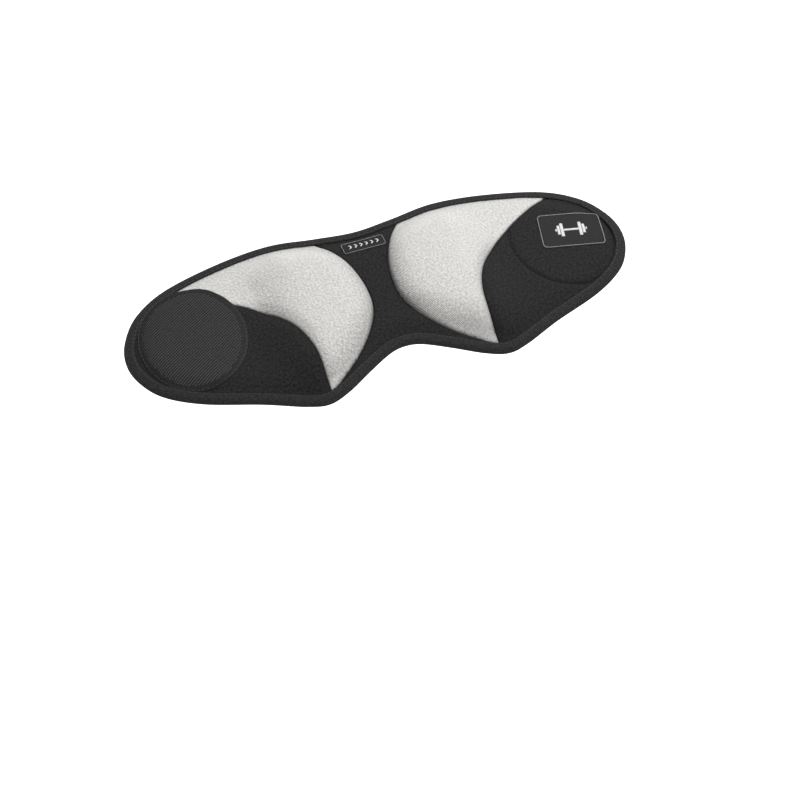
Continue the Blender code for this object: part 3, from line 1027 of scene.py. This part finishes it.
def finish_point(side, flat, point, nose_tree, panel_tree, oval_tree):
    """A filled cover's point with the small shapes of its seams, and how much painted shade darkens it there,
    0 to 1.
    """
    x, y = flat
    to_nose = distance_to(nose_tree, x, y)
    to_panel = distance_to(panel_tree, x, y)
    lobe = smooth(dome(x, y) * 4)
    from_tape = to_tape(x, y)
    z = point.z
    z -= lobe * hollows(side, x, y)
    uneven = lumps(SIDES[side] * x, y, UNEVEN_SIZE, 7.0) * smooth(from_tape / 0.006)
    z += (UNEVEN + UNEVEN_LOBE * lobe) * uneven
    z += PUFF * smooth(from_tape / 0.010) * (1 - lobe)
    z -= SEAM_GROOVE * (bump(to_nose, SEAM_GROOVE_WIDTH) + bump(to_panel, SEAM_GROOVE_WIDTH))
    # painted shade: a thin dark line along the neck and panel seams
    near = bump(to_nose, 0.0009) + bump(to_panel, 0.0009)
    # painted shade: a broader darkening of the lobes' flanks beside the seams
    near += lobe * (0.40 * bump(to_nose, 0.0085) + 0.22 * bump(to_panel, 0.0050))
    if side == "right" and not above_panel_seam(x, y):
        to_oval = distance_to(oval_tree, x, y)
        z -= OVAL_GROOVE * bump(to_oval, OVAL_GROOVE_WIDTH)
        # painted shade along the oval seam
        near += 1.2 * bump(to_oval, 0.0009)
    # painted shade where the cover meets the tape
    near += 0.6 * bump(max(from_tape, 0), 0.0012)
    return Vector((SIDES[side] * point.x, point.y, z)), min(near, 1.0)


def make_cover(side):
    """One side's outer face: the neck, silver and black panels, which share their seams."""
    nose = nose_seam(SEAM_SPACING)
    panel = panel_seam(SEAM_SPACING)
    oval = ellipse(LOOP_CENTRE, OVAL_RADII, SEAM_SPACING)
    flat, faces = lay_out_cover(side, nose, panel, oval)
    trees = [tree_of(spaced(line, 0.0003)) for line in (nose, panel, oval)]
    filled = fill_cover(flat, faces, trees[1])
    finished = [finish_point(side, before, after, *trees) for before, after in zip(flat, filled)]
    return split_cover(side, flat, faces, *zip(*finished))


def region_of(x, y):
    if x < nose_seam_x(y):
        return "neck_cover"
    return "silver_panel" if above_panel_seam(x, y) else "black_panel"


def split_cover(side, flat, faces, final, wear):
    """Separates a side's outer face into the fabrics that it is sewn from."""
    groups = {name: [] for name in PANEL_SLOTS}
    for face in faces:
        centre = sum((flat[i] for i in face), Vector((0, 0))) / len(face)
        groups[region_of(centre.x, centre.y)].append(face if side == "right" else face[::-1])
    panels = {}
    for name, members in groups.items():
        used, members = compacted(members)
        panels[name] = ([final[i] for i in used], members, [wear[i] for i in used])
    return panels


def sew_panel(name, shares, grain):
    """Makes one fabric from its share on one side, or on both, and cuts it into its pieces."""
    bm = bmesh.new()
    # painted shade near seams and edges, carried on the points into the pieces
    near_seam = bm.verts.layers.float.new("wear")
    for points, faces, wear in shares:
        verts = [bm.verts.new(point) for point in points]
        for vert, value in zip(verts, wear):
            vert[near_seam] = value
        for face in faces:
            bm.faces.new([verts[i] for i in face])
    bmesh.ops.remove_doubles(bm, verts=bm.verts, dist=0.00001)
    whole = object_from(bm, name)
    add_flat_cloth_map(whole.data, grain)
    thicken(whole, COVER_THICKNESS)
    slot = PANEL_SLOTS[name]
    for (_, stretch), piece in cut_into_pieces(whole, name, FINISHES[slot]).items():
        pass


def make_covers():
    panels = {side: make_cover(side) for side in SIDES}
    for side in SIDES:
        sew_panel("silver_panel", [panels[side]["silver_panel"]], KNIT_GRAIN[side])
        sew_panel("black_panel", [panels[side]["black_panel"]], 0.0)
    sew_panel("neck_cover", [panels[side]["neck_cover"] for side in SIDES], 0.0)


# ---- lining


LINING_INSET = 0.0066
LINING_SPACING = 0.003
LINING_HEIGHT = 0.00025


def lining_point(flat, drawn):
    """Where the lining lies over a point of its pattern, and how much painted shade darkens it in its drawn
    seams and at the tape's edge.
    """
    x, y = flat
    from_tape = to_tape(x, y)
    x_out = (x - LOOP_CENTRE[0]) / (LOOP_RADII[0] + 0.001)
    y_out = (y - LOOP_CENTRE[1]) / (LOOP_RADII[1] + 0.001)
    from_loop = (math.hypot(x_out, y_out) - 1) * LOOP_RADII[0]
    pulled = bump(distance_to(drawn, x, y), 0.0013)
    z = LINING_HEIGHT + 0.0009 * (1 - smooth(from_loop / 0.005)) + 0.0005 * pulled
    z += 0.00012 * (1 + lumps(x, y, 0.012, 2.0))
    z += 0.0005 * (1 - smooth((from_tape + 0.0016) / 0.003))
    # the second value is painted shade in the drawn seams and at the tape's edge
    return Vector((x, y, z)), min(1.0, 0.8 * pulled + 0.5 * bump(max(from_tape, 0), 0.0012))


def make_lining():
    """The skin side, with the seams of the outer face drawn into it."""

    def keep(x, y):
        return inside(x, y, LINING_INSET - 0.0002)

    outline = whole_outline(LINING_INSET, LINING_SPACING)
    hook = ellipse(HOOK_CENTRE, (HOOK_RADII[0] - 0.003, HOOK_RADII[1] - 0.003), 0.002)
    nose = nose_seam(0.002)
    lines = [hook, nose, [Vector((-p.x, p.y)) for p in nose]]
    lines = [[p for p in line if inside(p.x, p.y, LINING_INSET + 0.002)] for line in lines]
    dots = [p for line in lines for away in (0.0012, -0.0012, 0.0026, -0.0026) for p in beside(line, away)]
    dots += [p for p in ellipse(LOOP_CENTRE, LOOP_RADII, 0.0015) if inside(p.x, p.y, LINING_INSET + 0.001)]
    dots = [dot for dot in dots if keep(dot.x, dot.y)]
    verts, faces = flat_mesh(outline, [line[:-1] for line in lines], dots, LINING_SPACING, keep)
    drawn = tree_of([p for line in lines for p in spaced(line, 0.0004)])
    final, wear = zip(*(lining_point(vert, drawn) for vert in verts))
    whole = object_of("lining", mesh_of("lining", final, [face[::-1] for face in faces], wear))
    add_flat_cloth_map(whole.data, 0.0)
    for piece in cut_into_pieces(whole, "lining", FINISHES["lining_jersey"]).values():
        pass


# ---- patches


def plate(name, outline, top, foot, spacing):
    """A flat pad with a soft edge: outline, the height of its face, and where its edge is sewn down."""
    inner = beside(outline, 0.0007 if top > foot else -0.0007)[:-1]
    verts, faces = flat_mesh(outline[:-1], [], inner, spacing, lambda x, y: True)
    edge = tree_of(spaced(outline, 0.0003))
    final = []
    wear = []
    for vert in verts:
        away = distance_to(edge, vert.x, vert.y)
        final.append(Vector((vert.x, vert.y, foot + (top - foot) * shoulder(away + 0.00005, 0.0012))))
        # painted shade along the plate's sewn edge
        wear.append(bump(away, 0.001))
    members = faces if top > foot else [face[::-1] for face in faces]
    return object_of(name, mesh_of(name, final, members, wear))


def lay_on_cover(plate_object):
    for vertex in plate_object.data.vertices:
        vertex.co.z += flat_cover(vertex.co.x, vertex.co.y)


HOOK_STAND = 0.0007
PLATE_FOOT = -0.0002
HOOK_PITCH = 0.0018
HOOK_SPACING = 0.0013
HOOK_HEIGHT = 0.00032
HOOK_HALF = 0.00034
HOOK_LEAN = 0.00035
HOOK_ROWS_TURN = math.radians(34)
HOOK_BORDER = 0.0048
HOOK_RING = 0.0040
HOOK_EDGE_RING = 0.0012


def make_hook_patch():
    outline = ellipse(HOOK_CENTRE, HOOK_RADII, 0.0015)
    whole = plate("hook_patch", outline, HOOK_STAND, PLATE_FOOT, 0.003)
    lay_on_cover(whole)
    add_flat_cloth_map(whole.data, HOOK_ROWS_TURN)
    for piece in cut_into_pieces(whole, "hook_patch", FINISHES["hook_base"]).values():
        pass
    make_hooks()
    above = HOOK_STAND + 0.0001
    for name, inset, finish in (("edge", HOOK_EDGE_RING, "dark_thread"), ("ring", HOOK_RING, "black_thread")):
        radii = (HOOK_RADII[0] - inset, HOOK_RADII[1] - inset)
        make_stitch_ring(f"hook_patch_{name}_stitches", HOOK_CENTRE, radii, above, finish)


def make_hooks():
    """Rows of small bent hooks, which stop at the patch's plain border."""
    bm = bmesh.new()
    turn = Matrix.Rotation(HOOK_ROWS_TURN, 2)
    reach = max(HOOK_RADII)
    rows = int(reach / HOOK_PITCH)
    columns = int(reach / HOOK_SPACING)
    for row in range(-rows, rows + 1):
        for column in range(-columns, columns + 1):
            flat = turn @ Vector(((column + row % 2 / 2) * HOOK_SPACING, row * HOOK_PITCH))
            out = math.hypot(flat.x / (HOOK_RADII[0] - HOOK_BORDER), flat.y / (HOOK_RADII[1] - HOOK_BORDER))
            if out < 1:
                add_hook(bm, flat + Vector(HOOK_CENTRE), turn, 1 if row % 2 else -1)
    mesh = bpy.data.meshes.new("left_hooks_outer")
    bm.to_mesh(mesh)
    bm.free()
    piece = object_of("left_hooks_outer", mesh)
    finish_piece(piece, piece.name, FINISHES["hooks"])
    bend_with(piece)


def add_hook(bm, centre, turn, lean):
    """One hook: a small block whose top leans along its row."""
    vary = noise.noise(Vector((centre.x / 0.002, centre.y / 0.002, 5.0)))
    top = HOOK_STAND + HOOK_HEIGHT * (0.8 + 0.35 * vary)
    rings = []
    for above, wide, deep, shift in ((HOOK_STAND - 0.0001, 1.4, 1.0, 0.0), (top, 0.7, 0.6, lean * HOOK_LEAN)):
        ring = []
        for x, y in ((-1, -1), (1, -1), (1, 1), (-1, 1)):
            corner = turn @ Vector((x * HOOK_HALF * wide + shift, y * HOOK_HALF * deep)) + centre
            ring.append(bm.verts.new(on_cover(corner, above)))
        rings.append(ring)
    foot, crown = rings
    for index in range(4):
        after = (index + 1) % 4
        bm.faces.new((foot[index], foot[after], crown[after], crown[index]))
    bm.faces.new(crown)


def make_stitch_ring(base, centre, radii, above, finish, keep=None):
    meshes = empty_meshes()
    line = [on_cover(point, above) for point in ellipse(centre, radii, 0.001)]
    stitch_along(meshes, line, UP, STITCH_LENGTH, STITCH_GAP, STITCH_RADIUS, keep)
    thread_pieces(meshes, base, FINISHES[finish])


def on_black_panel(point):
    """Whether a point on the right side lies on the black panel, clear of its seam and the binding."""
    below_seam = not above_panel_seam(point.x - 0.0015, point.y + 0.0015)
    return below_seam and inside(point.x, point.y, TAPE_WIDTH + 0.001)


def make_tab_seam():
    """The stitches that hold the loop patch, where they come through the badge tab's outer face."""
    name, finish, slot = "tab_seam_stitches", "black_thread", "black_jersey"
    make_stitch_ring(name, LOOP_CENTRE, OVAL_RADII, OVAL_STITCH_HEIGHT, finish, on_black_panel)


def make_loop_patch():
    outline = ellipse(LOOP_CENTRE, LOOP_RADII, 0.0015)[::-1]
    whole = plate("loop_patch", outline, 0.0001, 0.0012, 0.0022)
    for vertex in whole.data.vertices:
        vertex.co.z += 0.00008 * (1 + lumps(vertex.co.x, vertex.co.y, 0.004, 9.0))
    add_flat_cloth_map(whole.data, 0.0)
    for piece in cut_into_pieces(whole, "loop_patch", FINISHES["loop_tape"]).values():
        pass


# ---- labels


LABEL_STAND = 0.0006
BORDER_INSET = 0.0010
BADGE_BORDER_STITCH = (0.0011, 0.00015, 0.00034)
NECK_BORDER_STITCH = (0.0009, 0.00012, 0.0002)
SATIN_SPACING = 0.00042
SATIN_RADIUS = 0.00030
SATIN_ARCH = 0.00035


def on_badge(x, y):
    """A point on the badge's face, x along it and y up it."""
    centre, _, _, tilt = BADGE
    return on_cover(Matrix.Rotation(tilt, 2) @ Vector((x, y)) + Vector(centre), LABEL_STAND)


def label_plate(name, label):
    whole = plate(name, rounded_rectangle(*label, 0.001), LABEL_STAND, PLATE_FOOT, 0.002)
    lay_on_cover(whole)
    add_flat_cloth_map(whole.data, -label[3])
    return whole


def border_stitches(label, stitch):
    """A line of stitches inside a label's edge; stitch is their length, gap and radius."""
    centre, size, corner, tilt = label
    meshes = empty_meshes()
    small = (size[0] - 2 * BORDER_INSET, size[1] - 2 * BORDER_INSET)
    ring = rounded_rectangle(centre, small, corner, tilt, 0.0006)
    line = [on_cover(p, LABEL_STAND + 0.00005) for p in ring]
    stitch_along(meshes, line, UP, *stitch)
    return meshes


def make_badge():
    whole = label_plate("right_badge_label", BADGE)
    whole.data.shade_smooth()
    finish_piece(whole, whole.name, FINISHES["label_weave"])
    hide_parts("badge_label")
    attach(whole, "right_tab")
    border = border_stitches(BADGE, BADGE_BORDER_STITCH)
    badge_threads(border["right", "outer"], "right_badge_border", "grey_thread")
    emblem = bmesh.new()
    embroider_dumbbell(emblem)
    piece = badge_threads(emblem, "right_badge_emblem", "white_thread")
    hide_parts("badge_emblem")


def badge_threads(bm, name, finish):
    bmesh.ops.recalc_face_normals(bm, faces=bm.faces)
    piece = object_from(bm, name)
    finish_piece(piece, name, FINISHES[finish])
    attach(piece, "right_tab")
    return piece


def satin_bar(bm, start, end, height):
    """Satin stitch over a bar from start to end along the badge, with threads across its shorter side."""
    width = end - start
    across_bar = height > width
    count = max(3, round((height if across_bar else width) / SATIN_SPACING))
    for number in range(count):
        share = (number + 0.5) / count
        if across_bar:
            y = (share - 0.5) * height
            ends = ((start, y), (end, y))
        else:
            x = start + share * width
            ends = ((x, -height / 2), (x, height / 2))
        points = [on_badge(*flat) for flat in ends]
        add_thread(bm, *points, UP, SATIN_RADIUS, SATIN_ARCH, rings=7)


def embroider_dumbbell(bm):
    (grip, grip_height), *plates = DUMBBELL
    satin_bar(bm, -grip, grip, grip_height)
    for sign in (-1, 1):
        x = grip
        for length, height in plates:
            satin_bar(bm, *sorted((sign * x, sign * (x + length))), height)
            x += length


CHEVRONS = 6
CHEVRON_PITCH = 0.0042
CHEVRON_HALF_HEIGHT = 0.0021
CHEVRON_DEPTH = 0.0019
CHEVRON_STRANDS = 3
CHEVRON_STRAND_PITCH = 0.00036
CHEVRON_THREAD = 0.0002


def make_neck_label():
    (middle_x, middle_y), (length, height), _, _ = NECK_LABEL
    whole = label_plate("neck_label", NECK_LABEL)
    for piece in cut_into_pieces(whole, "neck_label", FINISHES["label_weave"]).values():
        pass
    border = border_stitches(NECK_LABEL, NECK_BORDER_STITCH)
    thread_pieces(border, "neck_label_border", FINISHES["grey_thread"])
    meshes = empty_meshes()
    for number in range(CHEVRONS):
        x = middle_x + (number - (CHEVRONS - 1) / 2) * CHEVRON_PITCH
        mesh = meshes["left" if x < 0 else "right", "inner"]
        for side in (-1, 1):
            for strand in range(CHEVRON_STRANDS):
                shift = strand * CHEVRON_STRAND_PITCH
                point = Vector((x + CHEVRON_DEPTH / 2 + shift, middle_y))
                tail = point + Vector((-CHEVRON_DEPTH, side * CHEVRON_HALF_HEIGHT))
                ends = [on_cover(flat, LABEL_STAND) for flat in (point, tail)]
                add_thread(mesh, *ends, UP, CHEVRON_THREAD, CHEVRON_THREAD)
    thread_pieces(meshes, "neck_label_chevrons", FINISHES["white_thread"])


# ---- sand pouches


POUCH_COLUMNS = 18
POUCH_ROWS = 28
POUCH_SEAM = 0.0002
POUCH_BELLY = 0.0008


def pouch_points(side, part):
    """The pouch's upper face and then its lower one, as columns of points."""
    near, far = POUCH_REACH[part]
    points = []
    for upper in (True, False):
        for column in range(POUCH_COLUMNS + 1):
            x = near + (far - near) * column / POUCH_COLUMNS
            low, high = edges_at(x, DOME_EDGE + POUCH_MARGIN)
            if part == "inner":
                low = max(low, nose_seam_y(x - POUCH_MARGIN, -1))
                high = min(high, nose_seam_y(x - POUCH_MARGIN, 1))
            from_end = min(column, POUCH_COLUMNS - column) / POUCH_COLUMNS * 4
            for row in range(POUCH_ROWS + 1):
                y = low + (high - low) * row / POUCH_ROWS
                rim = min(from_end * min(row, POUCH_ROWS - row) / POUCH_ROWS * 4, 1.0)
                lift = shoulder(rim, 1.0) * max(dome(x, y) - POUCH_LOW_DOME, 0.0)
                lift *= 1 + 0.06 * lumps(x, y, 0.008, 4.0 * SIDES[side])
                z = POUCH_FOOT + POUCH_RISE * lift if upper else POUCH_FOOT - POUCH_SEAM - POUCH_BELLY * rim
                points.append((SIDES[side] * x, y, z))
    return points


def make_pouch(side, part):
    """A sewn nylon pouch full of sand, inside the lobe."""
    faces = []
    for face_columns in (range(POUCH_COLUMNS), range(POUCH_COLUMNS + 1, 2 * POUCH_COLUMNS + 1)):
        for column in face_columns:
            for row in range(POUCH_ROWS):
                a = column * (POUCH_ROWS + 1) + row
                faces.append((a, a + 1, a + POUCH_ROWS + 2, a + POUCH_ROWS + 1))
    slack = bpy.data.meshes.new("pouch_faces")
    slack.from_pydata(pouch_points(side, part), [], faces)
    bm = bmesh.new()
    bm.from_mesh(slack)
    bmesh.ops.bridge_loops(bm, edges=[edge for edge in bm.edges if edge.is_boundary])
    bmesh.ops.recalc_face_normals(bm, faces=bm.faces)
    pouch = object_from(bm, f"{side}_{part}_sand_pouch")
    bpy.data.meshes.remove(slack)
    add_flat_cloth_map(pouch.data, 0.0)
    finish_piece(pouch, pouch.name, FINISHES["pouch_nylon"])
    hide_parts(*(f"{side}_{part}_{layer}" for layer in ("pouch_back", "sand_fill", "pouch_front")))
    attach(pouch, f"{side}_{part}_wing")


# ---- studio

FLOOR_Z = -0.165
FLOOR_REACH = 6
LAMPS = {  # place, diameter and power
    "key_light": ((0.50, 0.45, 1.12), 0.3, 14.5),
    "fill_light": ((-0.6, -0.9, 1.0), 1.2, 1.5),
}
SKY_LIGHT = 0.41
CAMERA_PLACE = (-0.2106, -0.6208, 0.7729)
CAMERA_ELEVATION = 53.78
CAMERA_AZIMUTH = -19.73
CAMERA_LENS = 62.69


def make_floor():
    bm = bmesh.new()
    bmesh.ops.create_grid(bm, x_segments=8, y_segments=8, size=FLOOR_REACH)
    floor = object_from(bm, "floor")
    floor.location.z = FLOOR_Z
    floor.data.materials.append(floor_finish())


def add_light(name, place, size, power):
    light = bpy.data.lights.new(name, "AREA")
    light.shape = "DISK"
    light.size = size
    light.energy = power
    lamp = object_of(name, light)
    lamp.location = place
    lamp.rotation_euler = (-Vector(place)).to_track_quat("-Z", "Y").to_euler()


def make_world():
    """Soft even light, with a white backdrop behind it that meets the floor without a line."""
    world = bpy.data.worlds.new("studio")
    world.use_nodes = True
    nodes = world.node_tree.nodes
    links = world.node_tree.links
    light = nodes["Background"]
    backdrop = nodes.new("ShaderNodeBackground")
    for background, strength in ((light, SKY_LIGHT), (backdrop, 1.0)):
        background.inputs["Color"].default_value = (1.0, 1.0, 1.0, 1.0)
        background.inputs["Strength"].default_value = strength
    path = nodes.new("ShaderNodeLightPath")
    mix = nodes.new("ShaderNodeMixShader")
    links.new(path.outputs["Is Camera Ray"], mix.inputs["Fac"])
    links.new(light.outputs["Background"], mix.inputs[1])
    links.new(backdrop.outputs["Background"], mix.inputs[2])
    links.new(mix.outputs["Shader"], nodes["World Output"].inputs["Surface"])
    bpy.context.scene.world = world


def make_studio():
    make_floor()
    for name, lamp in LAMPS.items():
        add_light(name, *lamp)
    make_world()
    bpy.context.scene.view_settings.view_transform = "Standard"


def make_camera():
    camera = object_of("camera", bpy.data.cameras.new("camera"))
    camera.location = CAMERA_PLACE
    camera.rotation_euler = (math.radians(90 - CAMERA_ELEVATION), 0, math.radians(CAMERA_AZIMUTH))
    camera.data.lens = CAMERA_LENS
    camera.data.clip_start = 0.01
    bpy.context.scene.camera = camera


# ---- the cuff

make_camera()
make_binding()
make_binding_stitches()
make_covers()
for side_name in SIDES:
    for pouch_part in POUCH_REACH:
        make_pouch(side_name, pouch_part)
make_lining()
make_hook_patch()
make_loop_patch()
make_badge()
make_neck_label()
make_tab_seam()
make_studio()
